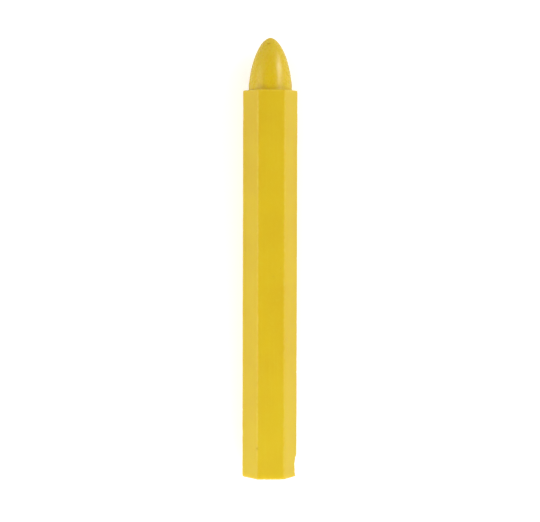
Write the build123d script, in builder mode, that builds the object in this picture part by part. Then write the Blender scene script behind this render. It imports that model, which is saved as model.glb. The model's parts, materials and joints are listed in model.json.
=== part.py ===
"""Tire marking chalk: one hexagonal stick of pigmented wax, cast in a mould of two halves, with a
blunt writing tip that stands on a shoulder. It lies on one flat, with its tip towards +X, and the
origin is on the surface below its middle. Sizes are in millimetres."""

import os
from math import cos, radians, sin, sqrt

from build123d import *

# Stick
overall_length = 85.8
across_flats = 9.3
edge_radius = 0.3

# Writing tip, from the shoulder to the end of the nose
tip_length = 10.3
shoulder_ledge = 0.41
rim_radius = 0.1
root_radius = 0.18

# Curve of the tip's side: its lean at the root, and how far the root and the nose hold it straight
tip_lean = 4.0
tip_root_pull = 7.25
tip_nose_pull = 1.32

# Fin left on both sides of the tip, where the halves of the mould met
fin_height = 0.06
fin_width = 0.14

# Hollow drawn into the butt end by the cooling wax
hollow_diameter = 5.2
hollow_depth = 0.2

# Chip broken out of one corner edge, steep beside the butt end and running out along the edge
chip_from_butt = 0.05
chip_length = 4.7
chip_depth = 0.4
chip_steep_pull = 0.05
chip_long_pull = 1.75
chip_curve_radius = 6.0
chip_overlap = 0.05

# Pit in the edge of the top flat, on the other side of the stick
pit_from_butt = 6.2
pit_radius = 0.45
pit_depth = 0.16

# Places that follow from the sizes
axis_height = across_flats / 2
edge_distance = across_flats / sqrt(3)
corner_reach = edge_distance - edge_radius * (2 / sqrt(3) - 1)
butt_x = -overall_length / 2
shoulder_x = overall_length / 2 - tip_length
root_distance = axis_height - shoulder_ledge
cubic_reach = 3 / 4

# Planes and axes that the features are built on
butt_plane = Plane(origin=(butt_x, 0, axis_height), x_dir=(0, 1, 0), z_dir=(1, 0, 0))
mould_plane = Plane(origin=(shoulder_x, 0, axis_height), x_dir=(1, 0, 0), z_dir=(0, 0, 1))
side_plane = Plane(origin=(butt_x, 0, axis_height), x_dir=(1, 0, 0), z_dir=(0, 0, -1))
stick_axis = Axis((butt_x, 0, axis_height), (1, 0, 0))
chip_axis = Axis((butt_x, -corner_reach - chip_curve_radius, axis_height), (1, 0, 0))


def tip_outline(growth=0.0):
    """Draws half of the tip's outline, grown outwards: from the axis to the root and over to the nose."""
    root = root_distance + growth
    nose = tip_length - fin_height + growth
    lean = radians(tip_lean)
    root_hold = (tip_root_pull * cos(lean), root - tip_root_pull * sin(lean))
    Line((0, 0), (0, root))
    Bezier((0, root), root_hold, (nose, tip_nose_pull), (nose, 0))
    Line((nose, 0), (0, 0))


def hollow_outline():
    """Draws half of the hollow's outline: an arc that is level at the axis, out to the rim."""
    deepest = (hollow_depth, 0)
    rim = (0, hollow_diameter / 2)
    TangentArc(deepest, rim, tangent=(0, 1))
    Polyline(rim, (0, 0), deepest)


def chip_outline():
    """Draws the chip's floor, and closes it along the axis that the chip is turned about."""
    start = chip_from_butt
    end = chip_from_butt + chip_length
    lip = corner_reach + chip_overlap
    floor = lip - (chip_depth + chip_overlap) / cubic_reach
    outside = corner_reach + chip_curve_radius
    Bezier((start, lip), (start + chip_steep_pull, floor), (end - chip_long_pull, floor), (end, lip))
    Polyline((end, lip), (end, outside), (start, outside), (start, lip))


with BuildPart() as chalk_stick:
    # Hexagonal shank, with a flat below and a flat on top
    with BuildSketch(butt_plane):
        RegularPolygon(radius=axis_height, side_count=6, major_radius=False)
    extrude(amount=shoulder_x - butt_x)
    long_edges = chalk_stick.edges().filter_by(Axis.X)
    butt_edges = chalk_stick.faces().sort_by(Axis.X)[0].edges()
    fillet(long_edges + butt_edges, radius=edge_radius)
    rim_edges = chalk_stick.faces().sort_by(Axis.X)[-1].edges()
    fillet(rim_edges, radius=rim_radius)

    # Writing tip, round about the stick's axis
    with BuildSketch(mould_plane):
        with BuildLine():
            tip_outline()
        make_face()
    revolve(axis=stick_axis)
    shoulder_face = chalk_stick.faces().filter_by(Axis.X).sort_by(Axis.X)[-1]
    fillet(shoulder_face.inner_wires()[0].edges(), radius=root_radius)

    # Mould fin, in the plane where the halves met
    with BuildSketch(mould_plane):
        with BuildLine():
            tip_outline(fin_height)
        make_face()
        mirror(about=Plane.XZ)
    extrude(amount=fin_width / 2, both=True)

    # Hollow in the butt end
    with BuildSketch(side_plane):
        with BuildLine():
            hollow_outline()
        make_face()
    revolve(axis=stick_axis, mode=Mode.SUBTRACT)

    # Chip in the corner edge
    with BuildSketch(side_plane):
        with BuildLine():
            chip_outline()
        make_face()
    revolve(axis=chip_axis, mode=Mode.SUBTRACT)

    # Pit in the top edge, square to it
    pit_distance = edge_distance + pit_radius - pit_depth
    pit_y = pit_distance * cos(radians(60))
    pit_z = axis_height + pit_distance * sin(radians(60))
    with Locations((butt_x + pit_from_butt, pit_y, pit_z)):
        Sphere(radius=pit_radius, mode=Mode.SUBTRACT)

os.makedirs("parts", exist_ok=True)
chalk_stick.part.label = "chalk_stick"
export_step(chalk_stick.part, "parts/chalk_stick.step")
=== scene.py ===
"""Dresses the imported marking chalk: casts the wax stick again as a fine mesh with its wear, in the
place of its solid, gives it its wax, and sets it on a white studio floor."""

import json
import math

import bmesh
import bpy
from bpy.props import FloatProperty, FloatVectorProperty, PointerProperty
from mathutils import Matrix, Vector

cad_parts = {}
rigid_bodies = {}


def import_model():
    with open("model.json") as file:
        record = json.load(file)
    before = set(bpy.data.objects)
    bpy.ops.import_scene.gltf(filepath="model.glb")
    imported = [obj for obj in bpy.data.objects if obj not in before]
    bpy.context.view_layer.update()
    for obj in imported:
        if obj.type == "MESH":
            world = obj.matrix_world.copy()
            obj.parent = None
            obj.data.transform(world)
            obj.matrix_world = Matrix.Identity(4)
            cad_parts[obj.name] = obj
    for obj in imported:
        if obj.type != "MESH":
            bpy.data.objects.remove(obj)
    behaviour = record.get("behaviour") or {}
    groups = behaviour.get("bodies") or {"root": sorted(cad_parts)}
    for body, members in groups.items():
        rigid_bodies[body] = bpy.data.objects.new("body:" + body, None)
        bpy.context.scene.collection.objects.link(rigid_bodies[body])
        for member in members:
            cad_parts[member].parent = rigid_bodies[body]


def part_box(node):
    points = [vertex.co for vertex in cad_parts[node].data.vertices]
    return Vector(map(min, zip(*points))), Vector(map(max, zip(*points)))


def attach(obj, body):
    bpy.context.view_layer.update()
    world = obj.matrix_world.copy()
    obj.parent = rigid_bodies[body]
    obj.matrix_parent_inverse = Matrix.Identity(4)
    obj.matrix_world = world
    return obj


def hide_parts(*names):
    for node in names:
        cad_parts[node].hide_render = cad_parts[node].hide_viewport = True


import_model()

bl_info = {
    "name": "Marking chalk",
    "version": (1, 0, 0),
    "blender": (4, 5, 0),
    "location": "3D View > Sidebar > Chalk",
    "description": "Casts a hexagonal stick of marking chalk and sets it on a studio floor",
    "category": "Object",
}

MM = 0.001
NODE = "chalk_stick"
BODY = "root"

# The stick's place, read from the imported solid
low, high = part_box(NODE)
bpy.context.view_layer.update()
AXIS_Z = (low.z + high.z) / 2
BUTT_X = low.x
NOSE_X = high.x

# Fineness of the mesh
FLAT_CUTS = 25
EDGE_SEGMENTS = 4
LENGTH_CUTS = 17
AROUND = 6 * (FLAT_CUTS + 1 + EDGE_SEGMENTS)
TIP_STEPS = 72
HOLLOW_STEPS = 10
ROUNDING_STEPS = 4
CHIP_STEPS = 40
CHIP_AROUND = 220
BALL_SUBDIVISIONS = 5
NEAR = 1e-6
SLIVER = 0.002 * MM
SMOOTH_UP_TO = math.radians(40)

TURN = 2 * math.pi
FLAT_TURN = math.radians(60)

# How far apart the ends are held while they are bridged, and the rings in each bridge
HOLD_OFF = 10 * MM
SHOULDER_RINGS = 1
BUTT_RINGS = 7

# Wear that the solid doesn't have
RIM_REACH = 0.5 * MM
EDGE_REACH = 0.14
FRACTURE_DEPTH = 0.22 * MM
FRACTURE_MIDDLE = 0.85
PIT_ROUGHNESS = 0.1 * MM
WRINKLE_PLACE = Vector((NOSE_X - 1.21 * MM, 0.25 * MM, AXIS_Z + 1.78 * MM))
WRINKLE_RADIUS = 0.17 * MM
WRINKLE_STRETCH = (1, 4.2, 1)
WRINKLE_SLANT = math.radians(-28)
WRINKLE_LEAN = math.radians(48)
WRINKLE_ROUGHNESS = 0.08 * MM

# Light: a tent that is dim where the camera looks in, and three soft boxes. Each has the way to
# it, its distance, width and height in metres, and its brightness
TENT_LEVEL = 0.81
CROWN_LEVEL = 0.17
CROWN_WAY = (0.12, 0, 1)
CROWN_CORE = math.radians(14)
CROWN_EDGE = math.radians(52)
SOFT_BOXES = {
    "key_right": ((0.45, -0.7, 0.46), 0.7, 0.18, 0.4, 7.5),
    "fill_left": ((-0.02, 0.9, 0.34), 0.45, 0.5, 0.3, 1.2),
    "butt_glow": ((-0.8, 0.0, 0.5), 0.32, 0.6, 0.22, 1.92),
}
WHITE = (1, 1, 1, 1)
FLOOR_WIDTH = 6
FLOOR_COLOUR = (0.8, 0.8, 0.8, 1)
FLOOR_LIFT = 0.45

# Camera, fitted to the outline of the stick in the photograph
CAMERA_PLACE = Vector((15.08, 21.57, 408.06)) * MM
CAMERA_AIM = Vector((-0.6, 0, 5.0)) * MM
CAMERA_LENS = 138.0
CAMERA_SENSOR = 36
CAMERA_ROLL = math.radians(0.15)


class ChalkSizes(bpy.types.PropertyGroup):
    """Sizes of the stick, in metres"""

    across_flats: FloatProperty(
        name="Across flats", description="Distance between opposite flats",
        default=high.z - low.z, unit="LENGTH",
    )
    edge_radius: FloatProperty(
        name="Edge radius", description="Rounding of the long edges and the butt end",
        default=0.3 * MM, unit="LENGTH",
    )
    rim_radius: FloatProperty(
        name="Rim radius", description="Rounding of the shoulder's outer edge",
        default=0.1 * MM, unit="LENGTH",
    )
    tip_length: FloatProperty(
        name="Tip length", description="From the shoulder to the end of the nose",
        default=10.3 * MM, unit="LENGTH",
    )
    shoulder_ledge: FloatProperty(
        name="Shoulder ledge", description="Ledge between a flat and the tip's root",
        default=0.41 * MM, unit="LENGTH",
    )
    root_radius: FloatProperty(
        name="Root radius", description="Fillet where the tip meets the shoulder",
        default=0.18 * MM, unit="LENGTH",
    )
    tip_lean: FloatProperty(
        name="Tip lean", description="Lean of the tip's side at its root",
        default=math.radians(4), unit="ROTATION",
    )
    tip_root_pull: FloatProperty(
        name="Root pull", description="How far the root holds the side straight",
        default=7.25 * MM, unit="LENGTH",
    )
    tip_nose_pull: FloatProperty(
        name="Nose pull", description="How far the nose holds its end square",
        default=1.32 * MM, unit="LENGTH",
    )
    fin_height: FloatProperty(
        name="Fin height", description="Height of the mould fin on the tip",
        default=0.06 * MM, unit="LENGTH",
    )
    hollow_diameter: FloatProperty(
        name="Hollow diameter", description="Width of the hollow in the butt end",
        default=5.2 * MM, unit="LENGTH",
    )
    hollow_depth: FloatProperty(
        name="Hollow depth", description="Depth of the hollow in the butt end",
        default=0.2 * MM, unit="LENGTH",
    )
    chip_length: FloatProperty(
        name="Chip length", description="Length of the chip along the corner edge",
        default=4.7 * MM, unit="LENGTH",
    )
    chip_depth: FloatProperty(
        name="Chip depth", description="Depth of the chip, square to the edge",
        default=0.4 * MM, unit="LENGTH",
    )
    chip_curve_radius: FloatProperty(
        name="Chip curve", description="Radius of the chip's hollow floor",
        default=6 * MM, unit="LENGTH",
    )
    pit_from_butt: FloatProperty(
        name="Pit place", description="From the butt end to the pit in the edge",
        default=6.2 * MM, unit="LENGTH",
    )
    pit_radius: FloatProperty(
        name="Pit radius", description="Radius of the pit in the edge",
        default=0.45 * MM, unit="LENGTH",
    )
    pit_depth: FloatProperty(
        name="Pit depth", description="Depth of the pit in the edge",
        default=0.16 * MM, unit="LENGTH",
    )
    waver: FloatProperty(
        name="Waver", description="How far the wax drew in unevenly as it cooled",
        default=0.03 * MM, unit="LENGTH",
    )
    ridge_wear: FloatProperty(
        name="Ridge wear", description="How far handling has rounded off the ridges",
        default=0.07 * MM, unit="LENGTH",
    )
    ridge_reach: FloatProperty(
        name="Ridge reach", description="How far onto the flats the wear of a ridge reaches",
        default=1.4 * MM, unit="LENGTH",
    )
    edge_wear: FloatProperty(
        name="Edge wear", description="Deepest wear of the long edges and the rims",
        default=0.07 * MM, unit="LENGTH",
    )


class ChalkWax(bpy.types.PropertyGroup):
    """Colours of the wax, among them painted light and painted shade"""

    body: FloatVectorProperty(
        name="Body", description="Colour of the cast wax",
        subtype="COLOR", size=3, min=0, max=1, default=(0.71, 0.497, 0.007),
    )
    # Thin clouds of pigment, and also painted light: with this colour the shank is painted lighter
    # towards the butt end
    pale_and_painted_light: FloatVectorProperty(
        name="Pale", description="Colour of thin clouds of pigment",
        subtype="COLOR", size=3, min=0, max=1, default=(0.725, 0.54, 0.018),
    )
    # Painted light: a lighter colour laid over the last millimetre of the butt end and over the
    # tip's root, lifting the root fillet's shade
    painted_brightening: FloatVectorProperty(
        name="Painted light", description="Colour of the wax at the butt end and the tip",
        subtype="COLOR", size=3, min=0, max=1, default=(0.75, 0.53, 0.008),
    )
    # Painted shade: the darker colour of the smudge in and around the pit
    pit_shade_colour: FloatVectorProperty(
        name="Pit shade", description="Colour of the painted_shade in the pit",
        subtype="COLOR", size=3, min=0, max=1, default=(0.42, 0.34, 0.03),
    )
    rubbed: FloatVectorProperty(
        name="Rubbed", description="Colour of rubbed and broken wax",
        subtype="COLOR", size=3, min=0, max=1, default=(0.78, 0.6, 0.09),
    )
    # Painted shade: the face of the butt end is painted darker, in clouds, against the bright lamp
    # at the butt end
    shaded: FloatVectorProperty(
        name="End shade", description="Colour of the face of the butt end, where the wax was poured",
        subtype="COLOR", size=3, min=0, max=1, default=(0.6, 0.4, 0.012),
    )
    # Thick clouds of pigment, and also painted shade: with this colour the bubble pits are painted
    # darker
    deep_and_painted_shade: FloatVectorProperty(
        name="Deep", description="Colour of thick clouds of pigment",
        subtype="COLOR", size=3, min=0, max=1, default=(0.66, 0.43, 0.007),
    )


def alone(piece):
    """Makes a piece the only one selected, so that operators act on it and nothing else."""
    bpy.ops.object.select_all(action="DESELECT")
    piece.select_set(True)
    bpy.context.view_layer.objects.active = piece


def pick(kind, test):
    """Selects, in edit mode, the vertices or edges that pass a test."""
    bpy.ops.mesh.select_mode(type={"verts": "VERT", "edges": "EDGE"}[kind])
    bpy.ops.mesh.select_all(action="DESELECT")
    mesh = bmesh.from_edit_mesh(bpy.context.edit_object.data)
    for part in getattr(mesh, kind):
        if test(part):
            part.select_set(True)
    mesh.select_flush_mode()
    bmesh.update_edit_mesh(bpy.context.edit_object.data)


def shoulder_x(sizes):
    """Where the shank ends and the tip stands on it."""
    return NOSE_X - sizes.tip_length


def runs_along(edge):
    """True for an edge that runs along the stick."""
    start, end = (v.co for v in edge.verts)
    return abs(start.x - end.x) > NEAR and (start - end).yz.length < NEAR


def open_at(x):
    """A test for the edges of an open end that lies at x."""
    return lambda edge: edge.is_boundary and all(abs(v.co.x - x) < NEAR for v in edge.verts)


def cast_shank(sizes):
    """Makes the hexagonal shank: rounded long edges, finely divided flats, and both ends open."""
    start = BUTT_X + sizes.edge_radius
    end = shoulder_x(sizes) - sizes.rim_radius
    bpy.ops.object.select_all(action="DESELECT")
    bpy.ops.mesh.primitive_cylinder_add(
        vertices=6,
        radius=sizes.across_flats / math.sqrt(3),
        depth=end - start,
        end_fill_type="NOTHING",
        location=((start + end) / 2, 0, AXIS_Z),
        rotation=(0, math.radians(90), 0),
    )
    shank = bpy.context.object
    bpy.ops.object.transform_apply()
    bpy.ops.object.mode_set(mode="EDIT")
    pick("edges", runs_along)
    bpy.ops.mesh.bevel(offset=sizes.edge_radius * math.tan(FLAT_TURN / 2), segments=EDGE_SEGMENTS)
    pick("edges", lambda edge: not runs_along(edge) and edge.calc_length() > sizes.edge_radius)
    bpy.ops.mesh.subdivide(number_cuts=FLAT_CUTS)
    for _ in range(2):
        pick("edges", runs_along)
        bpy.ops.mesh.subdivide(number_cuts=LENGTH_CUTS)
    round_end(start, -sizes.edge_radius, sizes)
    round_end(end, sizes.rim_radius, sizes)
    bpy.ops.object.mode_set(mode="OBJECT")
    return shank


def round_end(x, radius, sizes):
    """Rounds an open end of the shank with rings that close in, backwards for a negative radius."""
    pick("edges", open_at(x))
    half = sizes.across_flats / 2
    reach, width = 0, half
    for step in range(1, ROUNDING_STEPS + 1):
        angle = math.radians(90) * step / ROUNDING_STEPS
        new_reach = radius * math.sin(angle)
        new_width = half - abs(radius) * (1 - math.cos(angle))
        onward = (new_reach - reach, 0, 0)
        bpy.ops.mesh.extrude_region_move(TRANSFORM_OT_translate={"value": onward})
        narrower = (1, new_width / width, new_width / width)
        bpy.ops.transform.resize(value=narrower, center_override=(x, 0, AXIS_Z))
        reach, width = new_reach, new_width


def draw_curve(start, start_hold, end_hold, end, steps):
    """Draws a smooth line, from points given as places along X and distances from the axis."""
    bpy.ops.object.select_all(action="DESELECT")
    bpy.ops.curve.primitive_bezier_curve_add()
    line = bpy.context.object
    line.data.dimensions = "3D"
    line.data.resolution_u = steps
    for knot in line.data.splines[0].bezier_points:
        knot.handle_left_type = knot.handle_right_type = "FREE"
    first, last = line.data.splines[0].bezier_points
    first.co = first.handle_left = (start[0], start[1], AXIS_Z)
    first.handle_right = (start_hold[0], start_hold[1], AXIS_Z)
    last.handle_left = (end_hold[0], end_hold[1], AXIS_Z)
    last.co = last.handle_right = (end[0], end[1], AXIS_Z)
    bpy.ops.object.convert(target="MESH")
    return bpy.context.object


def spin_all(steps, y):
    """Turns the whole line, in edit mode, once about an axis along X that lies at y."""
    bpy.ops.mesh.select_all(action="SELECT")
    bpy.ops.mesh.spin(steps=steps, angle=TURN, center=(0, y, AXIS_Z), axis=(1, 0, 0))
    bpy.ops.mesh.select_all(action="SELECT")
    bpy.ops.mesh.remove_doubles(threshold=NEAR)


def turn_tip(sizes):
    """Makes the writing tip: a bullet curve with a fillet at its root, turned about the axis."""
    shoulder = shoulder_x(sizes)
    root = sizes.across_flats / 2 - sizes.shoulder_ledge
    nose = NOSE_X - sizes.fin_height
    lean = sizes.tip_lean
    pull = sizes.tip_root_pull
    root_hold = (shoulder + pull * math.cos(lean), root - pull * math.sin(lean))
    nose_hold = (nose, sizes.tip_nose_pull)
    tip = draw_curve((shoulder, root), root_hold, nose_hold, (nose, 0), TIP_STEPS)
    bpy.ops.object.mode_set(mode="EDIT")
    at_root = Vector((shoulder, root, AXIS_Z))
    pick("verts", lambda vertex: (vertex.co - at_root).length < NEAR)
    outward = (0, 1.4 * sizes.root_radius, 0)
    bpy.ops.mesh.extrude_region_move(TRANSFORM_OT_translate={"value": outward})
    pick("verts", lambda vertex: (vertex.co - at_root).length < NEAR)
    bpy.ops.mesh.bevel(offset=sizes.root_radius, segments=4, affect="VERTICES")
    spin_all(AROUND, 0)
    bpy.ops.object.mode_set(mode="OBJECT")
    return tip


def turn_hollow(sizes):
    """Makes the shallow hollow of the butt end, a flat arc turned about the axis of the stick."""
    half = sizes.hollow_diameter / 2
    radius = (half**2 + sizes.hollow_depth**2) / (2 * sizes.hollow_depth)
    swing = math.asin(half / radius)
    hold = radius * math.tan(swing / 4) * 4 / 3
    deepest = BUTT_X + sizes.hollow_depth
    hollow = draw_curve(
        (deepest, 0),
        (deepest, hold),
        (BUTT_X + hold * math.sin(swing), half - hold * math.cos(swing)),
        (BUTT_X, half),
        HOLLOW_STEPS,
    )
    bpy.ops.object.mode_set(mode="EDIT")
    spin_all(AROUND, 0)
    bpy.ops.object.mode_set(mode="OBJECT")
    return hollow


def close_end(stick, x, cap, hold, rings):
    """Closes the open end at x with a cap, held off while bridged, because flat rings can cross."""

    def along_gap(vertex):
        return (vertex.co.x - x) / hold

    cap.location.x = hold
    alone(stick)
    cap.select_set(True)
    bpy.ops.object.join()
    bpy.ops.object.mode_set(mode="EDIT")
    pick("edges", lambda edge: open_at(x)(edge) or open_at(x + hold)(edge))
    bpy.ops.mesh.bridge_edge_loops(number_cuts=rings, interpolation="LINEAR")
    pick("verts", lambda vertex: 0.01 < along_gap(vertex) < 0.95)
    bpy.ops.transform.resize(value=(0, 1, 1), center_override=(x, 0, AXIS_Z))
    pick("verts", lambda vertex: along_gap(vertex) > 0.5)
    bpy.ops.transform.translate(value=(-hold, 0, 0))
    bpy.ops.object.mode_set(mode="OBJECT")


def turn_outwards(stick):
    """Turns all faces of the closed skin outwards."""
    alone(stick)
    bpy.ops.object.mode_set(mode="EDIT")
    bpy.ops.mesh.select_all(action="SELECT")
    bpy.ops.mesh.normals_make_consistent(inside=False)
    bpy.ops.object.mode_set(mode="OBJECT")


def across(co):
    """Place across a flat, from -1 at one corner edge through 0 at its middle to 1 at the next."""
    angle = math.atan2(co.z - AXIS_Z, co.y) % FLAT_TURN - FLAT_TURN / 2
    return math.tan(angle) / math.tan(FLAT_TURN / 2)


def weigh(piece, name, weight):
    """Gives every vertex a weight that follows from its place."""
    group = piece.vertex_groups.new(name=name)
    for vertex in piece.data.vertices:
        value = weight(vertex.co)
        if value > 0:
            group.add([vertex.index], min(value, 1), "REPLACE")


def clouds(name, size, dark_to, light_from, depth=2):
    """A cloudy pattern with patches of a given size, 0 up to dark_to and 1 from light_from."""
    pattern = bpy.data.textures.new(name, "CLOUDS")
    pattern.noise_scale = size
    pattern.noise_depth = depth
    pattern.use_color_ramp = True
    dark, light = pattern.color_ramp.elements
    dark.position, light.position = dark_to, light_from
    dark.color, light.color = (0, 0, 0, 1), (1, 1, 1, 1)
    return pattern


def press_in(piece, name, depth, pattern=None, group="", middle=0.0):
    """Presses a surface in by up to depth, where its pattern and weights are high.

    Where the pattern is below middle, the surface swells instead.
    """
    press = piece.modifiers.new(name, "DISPLACE")
    press.texture = pattern
    press.texture_coords = "LOCAL"
    press.vertex_group = group
    press.mid_level = middle
    press.strength = -depth
    alone(piece)
    bpy.ops.object.modifier_apply(modifier=name)


def wear_stick(stick, sizes):
    """Lets the wax draw in as it set, lifts the mould's fin, and wears the edges and the rims."""
    half = sizes.across_flats / 2
    corner_edge = half * math.tan(FLAT_TURN / 2)
    shoulder = shoulder_x(sizes)

    def from_axis(co):
        return math.hypot(co.y, co.z - AXIS_Z)

    def outside(co):
        return co.x < shoulder + NEAR and from_axis(co) > half - sizes.edge_radius

    def on_flat(co):
        return 1 - across(co) ** 2 if BUTT_X + RIM_REACH < co.x < shoulder - RIM_REACH else 0

    def on_tip(co):
        from_root = (co.x - shoulder - 2 * sizes.root_radius) / (2 * MM)
        return min(from_root, (NOSE_X - co.x) / MM)

    def on_butt(co):
        inside = 1 - from_axis(co) / (0.93 * half)
        return inside / 0.2 if co.x < BUTT_X + 1.5 * sizes.hollow_depth else 0

    def on_fin(co):
        from_root = (co.x - shoulder - sizes.root_radius) / (0.8 * MM)
        from_nose = (abs(co.y) - 0.5 * MM) / (1.2 * MM)
        return min(from_root, from_nose) if abs(co.z - AXIS_Z) < NEAR else 0

    def on_ridge(co):
        away = (1 - abs(across(co))) * corner_edge / sizes.ridge_reach
        inward = min(co.x - BUTT_X, shoulder - co.x, RIM_REACH) / RIM_REACH
        on_side = outside(co) and abs(co.z - AXIS_Z) > half / 2
        return inward * max(1 - away, 0) ** 2 if on_side else 0

    def on_edge(co):
        return 1 - (1 - abs(across(co))) / EDGE_REACH if outside(co) else 0

    def on_rim(co):
        from_rim = min(co.x - BUTT_X, abs(shoulder - co.x))
        return 1 - from_rim / RIM_REACH if outside(co) else 0

    groups = {
        "flats": on_flat, "tip": on_tip, "butt": on_butt, "fin": on_fin,
        "ridges": on_ridge, "edges": on_edge, "rims": on_rim,
    }
    for name, weight in groups.items():
        weigh(stick, name, weight)
    wear = sizes.edge_wear
    press_in(stick, "waver", sizes.waver, clouds("waver", 9 * MM, 0.3, 0.7), "flats")
    press_in(stick, "ripple", sizes.waver, clouds("ripple", 1.9 * MM, 0.2, 0.8), "tip")
    press_in(stick, "pour", 2.5 * sizes.waver, clouds("pour", 1.6 * MM, 0.2, 0.8), "butt")
    press_in(stick, "handling", sizes.ridge_wear, None, "ridges")
    press_in(stick, "fin", -sizes.fin_height, None, "fin")
    press_in(stick, "rub", 0.6 * wear, clouds("rub", 4 * MM, 0.3, 0.8), "edges")
    press_in(stick, "nicks", wear, clouds("nicks", 0.8 * MM, 0.62, 0.85), "edges")
    press_in(stick, "crumble", wear, clouds("crumble", 0.7 * MM, 0.4, 0.85), "rims")


def keep_worn(stick):
    """Keeps the worn places as an attribute for the wax to read."""
    worn = stick.data.attributes.new("worn", "FLOAT", "POINT")
    groups = [stick.vertex_groups[name].index for name in ("edges", "rims")]
    for vertex in stick.data.vertices:
        weights = [element.weight for element in vertex.groups if element.group in groups]
        worn.data[vertex.index].value = max(weights, default=0)


def cut_away(stick, tool):
    """Cuts a closed tool out of the stick, throws it away, and clears the slivers along the cut."""
    cut = stick.modifiers.new("cut", "BOOLEAN")
    cut.operation = "DIFFERENCE"
    cut.solver = "EXACT"
    cut.object = tool
    alone(stick)
    bpy.ops.object.modifier_apply(modifier="cut")
    bpy.data.objects.remove(tool)
    bpy.ops.object.mode_set(mode="EDIT")
    bpy.ops.mesh.select_all(action="SELECT")
    bpy.ops.mesh.remove_doubles(threshold=SLIVER)
    bpy.ops.mesh.dissolve_degenerate(threshold=SLIVER)
    bpy.ops.mesh.select_all(action="DESELECT")
    bpy.ops.mesh.select_face_by_sides(number=4, type="NOTEQUAL")
    bpy.ops.mesh.select_more()
    bpy.ops.mesh.quads_convert_to_tris()
    bpy.ops.mesh.select_all(action="DESELECT")
    bpy.ops.mesh.select_non_manifold(use_wire=False, use_boundary=False, use_verts=False)
    bpy.ops.mesh.merge(type="COLLAPSE")
    bpy.ops.object.mode_set(mode="OBJECT")


def break_chip(stick, sizes):
    """Breaks the long chip out of the corner edge beside the butt end, with a rough floor."""
    corner = sizes.across_flats / math.sqrt(3) - sizes.edge_radius * (2 / math.sqrt(3) - 1)
    overlap = 0.05 * MM
    start = BUTT_X + overlap
    end = start + sizes.chip_length
    lip = -corner - overlap
    floor = lip + (sizes.chip_depth + overlap) * 4 / 3
    outside = -corner - sizes.chip_curve_radius
    floor_holds = (start + overlap, floor), (end - 1.75 * MM, floor)
    tool = draw_curve((start, lip), *floor_holds, (end, lip), CHIP_STEPS)
    bpy.ops.object.mode_set(mode="EDIT")
    for x in (start, end):
        place = Vector((x, lip, AXIS_Z))
        pick("verts", lambda vertex: (vertex.co - place).length < NEAR)
        bpy.ops.mesh.extrude_region_move(TRANSFORM_OT_translate={"value": (0, outside - lip, 0)})
    spin_all(CHIP_AROUND, outside)
    bpy.ops.mesh.normals_make_consistent(inside=False)
    bpy.ops.object.mode_set(mode="OBJECT")

    def on_floor(co):
        into_stick = math.hypot(co.y - outside, co.z - AXIS_Z) - sizes.chip_curve_radius
        return (into_stick - overlap) / (0.15 * MM)

    weigh(tool, "floor", on_floor)
    fracture = clouds("fracture", 0.8 * MM, 0.1, 0.9, 4)
    press_in(tool, "fracture", FRACTURE_DEPTH, fracture, "floor", FRACTURE_MIDDLE)
    cut_away(stick, tool)


def press_hollow(stick, radius, place, stretch, slant, lean, roughness):
    """Presses a small rough hollow into the skin, with a stretched and tilted ball at a place."""
    bpy.ops.object.select_all(action="DESELECT")
    bpy.ops.mesh.primitive_ico_sphere_add(
        subdivisions=BALL_SUBDIVISIONS, radius=radius, location=place
    )
    tool = bpy.context.object
    bpy.ops.transform.resize(value=stretch)
    bpy.ops.transform.rotate(value=slant, orient_axis="Z")
    bpy.ops.transform.rotate(value=lean, orient_axis="Y")
    bpy.ops.object.transform_apply()
    press_in(tool, "rough", roughness, clouds("grain", 0.5 * MM, 0.2, 0.8), middle=0.5)
    cut_away(stick, tool)


def press_pit(stick, sizes):
    """Presses the small pit into the edge of the top flat."""
    ridge = sizes.across_flats / math.sqrt(3) - sizes.ridge_wear
    way = Vector((0, math.cos(FLAT_TURN), math.sin(FLAT_TURN)))
    place = Vector((BUTT_X + sizes.pit_from_butt, 0, AXIS_Z))
    place += way * (ridge + sizes.pit_radius - sizes.pit_depth)
    press_hollow(stick, sizes.pit_radius, place, (1, 1, 1), 0, 0, PIT_ROUGHNESS)


def press_wrinkle(stick):
    """Presses the shallow wrinkle across the top of the nose, where the wax drew in as it set."""
    press_hollow(
        stick, WRINKLE_RADIUS, WRINKLE_PLACE, WRINKLE_STRETCH,
        WRINKLE_SLANT, WRINKLE_LEAN, WRINKLE_ROUGHNESS,
    )


class CHALK_OT_cast_stick(bpy.types.Operator):
    """Casts the wax stick, wears it, and puts it in the place of its solid"""

    bl_idname = "chalk.cast_stick"
    bl_label = "Cast the stick"
    bl_options = {"REGISTER", "UNDO"}

    def execute(self, context):
        sizes = context.scene.chalk_sizes
        stick = cast_shank(sizes)
        stick.name = stick.data.name = "wax_stick"
        close_end(stick, shoulder_x(sizes), turn_tip(sizes), HOLD_OFF, SHOULDER_RINGS)
        close_end(stick, BUTT_X, turn_hollow(sizes), -HOLD_OFF, BUTT_RINGS)
        turn_outwards(stick)
        wear_stick(stick, sizes)
        keep_worn(stick)
        break_chip(stick, sizes)
        press_pit(stick, sizes)
        press_wrinkle(stick)
        bpy.ops.object.shade_smooth_by_angle(angle=SMOOTH_UP_TO)
        stick.data.materials.clear()
        stick.data.materials.append(pigmented_wax(context.scene.chalk_wax))
        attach(stick, BODY)
        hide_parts(NODE)
        return {"FINISHED"}


def add_node(tree, kind, inputs=None, **settings):
    """Adds a node with its settings. An input is a value, or another node's output to link."""
    node = tree.nodes.new(kind)
    for name, value in settings.items():
        setattr(node, name, value)
    for name, value in (inputs or {}).items():
        socket = next(s for s in node.inputs if name in (s.identifier, s.name))
        if isinstance(value, bpy.types.NodeSocket):
            tree.links.new(value, socket)
        else:
            socket.default_value = value
    return node


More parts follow.
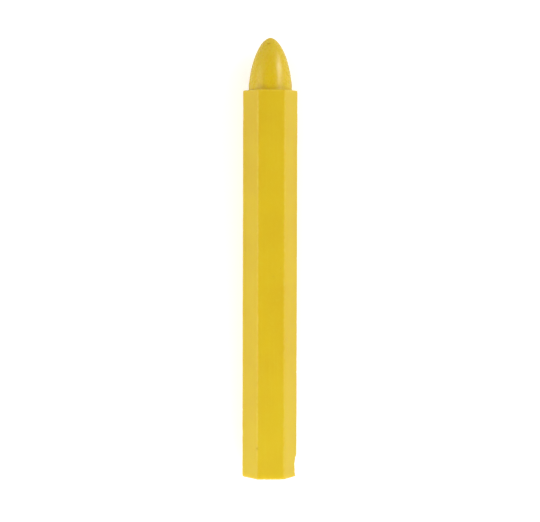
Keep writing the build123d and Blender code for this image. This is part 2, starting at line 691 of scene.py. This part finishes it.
def noise(tree, place, per_mm, detail=2.0, stretch=(1, 1, 1), shift=0.0):
    """Soft noise with so many lumps in a millimetre, which may be drawn out along an axis."""
    inputs = {"Vector": place, "Scale": stretch, "Location": (shift, shift, shift)}
    drawn_out = add_node(tree, "ShaderNodeMapping", inputs).outputs[0]
    inputs = {"Vector": drawn_out, "Scale": per_mm, "Detail": detail}
    return add_node(tree, "ShaderNodeTexNoise", inputs).outputs[0]


def spread(tree, value, dark, light, low=0.0, high=1.0):
    """Spreads the values between dark and light over low to high, with soft ends."""
    return add_node(
        tree,
        "ShaderNodeMapRange",
        {"Value": value, "From Min": dark, "From Max": light, "To Min": low, "To Max": high},
        interpolation_type="SMOOTHSTEP",
    ).outputs[0]


def work_out(tree, operation, first, second):
    """Sum, product or other number of two values."""
    return add_node(
        tree, "ShaderNodeMath", {"Value": first, "Value_001": second}, operation=operation
    ).outputs[0]


def tint(tree, factor, under, over):
    """Lays one colour over another."""
    over = over if isinstance(over, bpy.types.NodeSocket) else (*over, 1)
    under = under if isinstance(under, bpy.types.NodeSocket) else (*under, 1)
    inputs = {"Factor_Float": factor, "A_Color": under, "B_Color": over}
    return add_node(tree, "ShaderNodeMix", inputs, data_type="RGBA").outputs[2]


def casting_bubbles(tree, place):
    """Round pits of burst air bubbles: 1 in a pit and 0 on the skin. One cell in six has a pit."""
    inputs = {"Vector": place, "Scale": 0.62, "Randomness": 1.0}
    cells = add_node(tree, "ShaderNodeTexVoronoi", inputs, feature="F1")
    chance = add_node(tree, "ShaderNodeSeparateColor", {"Color": cells.outputs["Color"]})
    chosen = spread(tree, chance.outputs[0], 0.82, 0.84)
    width = spread(tree, chance.outputs[1], 0.0, 1.0, 0.035, 0.1)
    inside = work_out(tree, "SUBTRACT", width, cells.outputs["Distance"])
    dip = spread(tree, inside, 0.0, 0.05)
    return work_out(tree, "MULTIPLY", dip, chosen)


def pit_shade_mask(tree, place, rough):
    """A smudge of painted shade in and around the pit in the edge of the top flat."""
    sizes = bpy.context.scene.chalk_sizes
    reach = sizes.across_flats / math.sqrt(3)
    middle = Vector((
        BUTT_X + sizes.pit_from_butt,
        1.06 * reach * math.cos(FLAT_TURN),
        0.97 * reach * math.sin(FLAT_TURN) + AXIS_Z,
    ))
    inputs = {"Vector": place, "Vector_001": middle / MM}
    away = add_node(tree, "ShaderNodeVectorMath", inputs, operation="DISTANCE").outputs["Value"]
    ragged = work_out(tree, "ADD", away, work_out(tree, "MULTIPLY", rough, 1.2))
    return spread(tree, ragged, 1.5, 0.7, 0.0, 0.12)


def below_flats(tree, place):
    """How many millimetres the surface lies below the planes of the six flats."""
    half = AXIS_Z / MM
    _, y, z = add_node(tree, "ShaderNodeSeparateXYZ", {"Vector": place}).outputs
    up = work_out(tree, "SUBTRACT", z, half)
    half_up = work_out(tree, "MULTIPLY", up, math.cos(FLAT_TURN))
    aside = work_out(tree, "MULTIPLY", y, math.sin(FLAT_TURN))
    outermost = work_out(tree, "ABSOLUTE", up, 0)
    for operation in ("ADD", "SUBTRACT"):
        side = work_out(tree, "ABSOLUTE", work_out(tree, operation, half_up, aside), 0)
        outermost = work_out(tree, "MAXIMUM", outermost, side)
    return work_out(tree, "SUBTRACT", half, outermost)


def fresh_break(tree, place, below, rough):
    """The floor of the chip: 1 where the corner beside the butt end is broken away."""
    sizes = bpy.context.scene.chalk_sizes
    butt = BUTT_X / MM
    chip_end = butt + sizes.chip_length / MM
    x, y, _ = add_node(tree, "ShaderNodeSeparateXYZ", {"Vector": place}).outputs
    ragged = work_out(tree, "ADD", below, work_out(tree, "MULTIPLY", rough, 0.1))
    gone = spread(tree, ragged, 0.1, 0.2)
    on_side = spread(tree, y, -4.0, -4.2)
    within = spread(tree, x, chip_end + 0.7, chip_end + 0.4)
    off_butt = spread(tree, x, butt + 0.02, butt + 0.1)
    for limit in (on_side, within, off_butt):
        gone = work_out(tree, "MULTIPLY", gone, limit)
    return gone


def shaded_end(tree, place, below):
    """The face of the butt end: 1 on it and 0 on the flats. Painted shade and a rougher gloss are
    laid there.
    """
    butt = BUTT_X / MM
    x = add_node(tree, "ShaderNodeSeparateXYZ", {"Vector": place}).outputs[0]
    at_end = spread(tree, x, butt + 0.4, butt + 0.25)
    return work_out(tree, "MULTIPLY", at_end, spread(tree, below, 0.05, 0.5))


def pigmented_wax(wax):
    """Pigmented wax: cloudy colour with painted light and painted shade in it, rubbed edges, a soft
    glow below the skin and a satin gloss.
    """
    material = bpy.data.materials.new("pigmented_wax")
    material.use_nodes = True
    tree = material.node_tree
    skin = tree.nodes["Principled BSDF"]
    where = add_node(tree, "ShaderNodeTexCoord").outputs["Object"]
    in_mm = {"Vector": where, "Scale": (1 / MM, 1 / MM, 1 / MM)}
    place = add_node(tree, "ShaderNodeMapping", in_mm).outputs[0]
    along = add_node(tree, "ShaderNodeSeparateXYZ", {"Vector": place}).outputs[0]
    worn = add_node(tree, "ShaderNodeAttribute", attribute_name="worn").outputs["Fac"]
    butt = BUTT_X / MM
    shoulder = shoulder_x(bpy.context.scene.chalk_sizes) / MM

    broad = noise(tree, place, 0.13, 3.0)
    fine = noise(tree, place, 1.4, 4.0, shift=7.0)
    grain = noise(tree, place, 9.0, 2.0)
    streaks = noise(tree, place, 1.0, 3.0, stretch=(0.06, 2.6, 2.6))
    pits = casting_bubbles(tree, place)
    below = below_flats(tree, place)
    broken = fresh_break(tree, place, below, fine)
    shaded = shaded_end(tree, place, below)
    rubbed = work_out(tree, "MULTIPLY", worn, spread(tree, fine, 0.3, 0.7, 0.1, 0.5))
    # Painted shade on the face of the butt end, in clouds
    clouded_shade = work_out(tree, "MULTIPLY", shaded, spread(tree, broad, 0.3, 0.7, 0.55, 0.95))

    colour = wax.body
    for factor, over in (
        (spread(tree, broad, 0.35, 0.7, 0.0, 0.45), wax.deep_and_painted_shade),
        (spread(tree, fine, 0.45, 0.75, 0.0, 0.3), wax.pale_and_painted_light),
        (spread(tree, streaks, 0.52, 0.72, 0.0, 0.3), wax.pale_and_painted_light),
        (spread(tree, grain, 0.66, 0.78, 0.0, 0.35), wax.deep_and_painted_shade),
        # Painted light: the shank painted lighter towards the butt end, as if more light fell there
        (spread(tree, along, butt + 26.9, butt - 0.1, 0.0, 0.4), wax.pale_and_painted_light),
        (rubbed, wax.rubbed),
        # Painted light: the last millimetre at the butt end painted lighter, as if its rounded edge
        # caught the light
        (spread(tree, along, butt + 1.2, butt + 0.4, 0.0, 0.8), wax.painted_brightening),
        # Painted light: the tip's root and the shank's end beside it painted lighter, lifting the
        # shade in the root's fillet
        (spread(tree, along, shoulder - 1.1, shoulder + 1.4, 0.0, 0.6), wax.painted_brightening),
        # Painted shade: the face of the butt end painted darker, in clouds
        (clouded_shade, wax.shaded),
        # Painted shade: the bubble pits painted darker
        (work_out(tree, "MULTIPLY", pits, 0.5), wax.deep_and_painted_shade),
        # Painted shade in and around the pit in the edge of the top flat
        (pit_shade_mask(tree, place, fine), wax.pit_shade_colour),
        (work_out(tree, "MULTIPLY", broken, 0.5), wax.rubbed),
    ):
        colour = tint(tree, factor, colour, over)
    tree.links.new(colour, skin.inputs["Base Color"])

    gloss = spread(tree, fine, 0.3, 0.75, 0.33, 0.43)
    for change in (
        spread(tree, along, shoulder - 1.6, shoulder + 1.4, 0.0, -0.1),
        spread(tree, streaks, 0.5, 0.75, 0.0, 0.08),
        work_out(tree, "MULTIPLY", broken, 0.25),
        work_out(tree, "MULTIPLY", shaded, 0.1),
    ):
        gloss = work_out(tree, "ADD", gloss, change)
    tree.links.new(gloss, skin.inputs["Roughness"])

    relief = work_out(tree, "MULTIPLY", noise(tree, place, 3.2, 3.0), 0.5)
    broken_grain = work_out(tree, "MULTIPLY", grain, broken)
    for lumps, height in ((streaks, 0.3), (broken_grain, 3), (pits, -3)):
        relief = work_out(tree, "ADD", relief, work_out(tree, "MULTIPLY", lumps, height))
    bump = add_node(
        tree, "ShaderNodeBump", {"Height": relief, "Strength": 1.0, "Distance": 0.02 * MM}
    )
    tree.links.new(bump.outputs[0], skin.inputs["Normal"])

    skin.inputs["IOR"].default_value = 1.45
    skin.inputs["Subsurface Weight"].default_value = 0.3
    skin.inputs["Subsurface Radius"].default_value = (1.0, 0.6, 0.15)
    skin.inputs["Subsurface Scale"].default_value = 1.0 * MM
    return material


def add_soft_box(name, way, distance, width, height, brightness):
    """Adds a soft box that faces the stick, and is as bright as said at any size."""
    toward = Vector(way).normalized()
    light = bpy.data.lights.new(name, "AREA")
    light.shape = "RECTANGLE"
    light.size = width
    light.size_y = height
    light.energy = brightness * math.pi * width * height
    lamp = bpy.data.objects.new(name, light)
    bpy.context.scene.collection.objects.link(lamp)
    lamp.location = toward * distance
    lamp.rotation_euler = toward.to_track_quat("Z", "Y").to_euler()


def floor_material():
    """Pale floor that takes soft shadows, lifted to white where the camera looks at it."""
    material = bpy.data.materials.new("studio_floor")
    material.use_nodes = True
    tree = material.node_tree
    tree.nodes.clear()
    seen = add_node(tree, "ShaderNodeLightPath").outputs["Is Camera Ray"]
    lift = work_out(tree, "MULTIPLY", seen, FLOOR_LIFT)
    glow = add_node(tree, "ShaderNodeEmission", {"Color": WHITE, "Strength": lift}).outputs[0]
    paint = add_node(tree, "ShaderNodeBsdfDiffuse", {"Color": FLOOR_COLOUR}).outputs[0]
    both = add_node(tree, "ShaderNodeAddShader", {"Shader": paint, "Shader_001": glow}).outputs[0]
    add_node(tree, "ShaderNodeOutputMaterial", {"Surface": both})
    return material


def tent_world():
    """White tent of light, dim where the camera looks in, and plain white behind the floor."""
    world = bpy.data.worlds.new("tent")
    world.use_nodes = True
    tree = world.node_tree
    sky = tree.nodes["Background"]
    sky.inputs["Color"].default_value = WHITE
    way = add_node(tree, "ShaderNodeTexCoord").outputs["Generated"]
    toward = add_node(
        tree,
        "ShaderNodeVectorMath",
        {"Vector": way, "Vector_001": Vector(CROWN_WAY).normalized()},
        operation="DOT_PRODUCT",
    ).outputs["Value"]
    edge, core = math.cos(CROWN_EDGE), math.cos(CROWN_CORE)
    crown = spread(tree, toward, edge, core, TENT_LEVEL, CROWN_LEVEL)
    seen = add_node(tree, "ShaderNodeLightPath").outputs["Is Camera Ray"]
    level = add_node(tree, "ShaderNodeMix", {"Factor_Float": seen, "A_Float": crown, "B_Float": 1})
    tree.links.new(level.outputs["Result"], sky.inputs["Strength"])
    return world


def add_camera():
    """Adds the camera, with the nose of the stick up in its picture."""
    camera = bpy.data.cameras.new("camera")
    camera.lens = CAMERA_LENS
    camera.sensor_width = CAMERA_SENSOR
    camera.clip_start = 0.01
    camera.clip_end = 20
    holder = bpy.data.objects.new("camera", camera)
    bpy.context.scene.collection.objects.link(holder)
    back = (CAMERA_PLACE - CAMERA_AIM).normalized()
    up = (Vector((1, 0, 0)) - back * back.x).normalized()
    turned = Matrix((up.cross(back), up, back)).transposed().to_4x4()
    rolled = turned @ Matrix.Rotation(CAMERA_ROLL, 4, "Z")
    holder.matrix_world = Matrix.Translation(CAMERA_PLACE) @ rolled
    return holder


class CHALK_OT_set_stage(bpy.types.Operator):
    """Lays the floor and sets the lights and the camera"""

    bl_idname = "chalk.set_stage"
    bl_label = "Set the stage"
    bl_options = {"REGISTER", "UNDO"}

    def execute(self, context):
        scene = context.scene
        scene.view_settings.view_transform = "Standard"
        bpy.ops.object.select_all(action="DESELECT")
        bpy.ops.mesh.primitive_plane_add(size=FLOOR_WIDTH)
        floor = bpy.context.object
        floor.name = "studio_floor"
        floor.data.materials.append(floor_material())
        scene.world = tent_world()
        for name, settings in SOFT_BOXES.items():
            add_soft_box(name, *settings)
        scene.camera = add_camera()
        return {"FINISHED"}


class CHALK_PT_panel(bpy.types.Panel):
    """Sizes, colours and steps of the marking chalk"""

    bl_idname = "CHALK_PT_panel"
    bl_label = "Marking chalk"
    bl_space_type = "VIEW_3D"
    bl_region_type = "UI"
    bl_category = "Chalk"

    def draw(self, context):
        for group in (context.scene.chalk_sizes, context.scene.chalk_wax):
            box = self.layout.box()
            for name in group.__annotations__:
                box.prop(group, name)
        self.layout.operator(CHALK_OT_cast_stick.bl_idname)
        self.layout.operator(CHALK_OT_set_stage.bl_idname)


CLASSES = (ChalkSizes, ChalkWax, CHALK_OT_cast_stick, CHALK_OT_set_stage, CHALK_PT_panel)


def register():
    for cls in CLASSES:
        bpy.utils.register_class(cls)
    bpy.types.Scene.chalk_sizes = PointerProperty(type=ChalkSizes)
    bpy.types.Scene.chalk_wax = PointerProperty(type=ChalkWax)


def unregister():
    del bpy.types.Scene.chalk_sizes
    del bpy.types.Scene.chalk_wax
    for cls in reversed(CLASSES):
        bpy.utils.unregister_class(cls)


def main():
    register()
    bpy.ops.chalk.cast_stick()
    bpy.ops.chalk.set_stage()


if __name__ == "__main__":
    main()
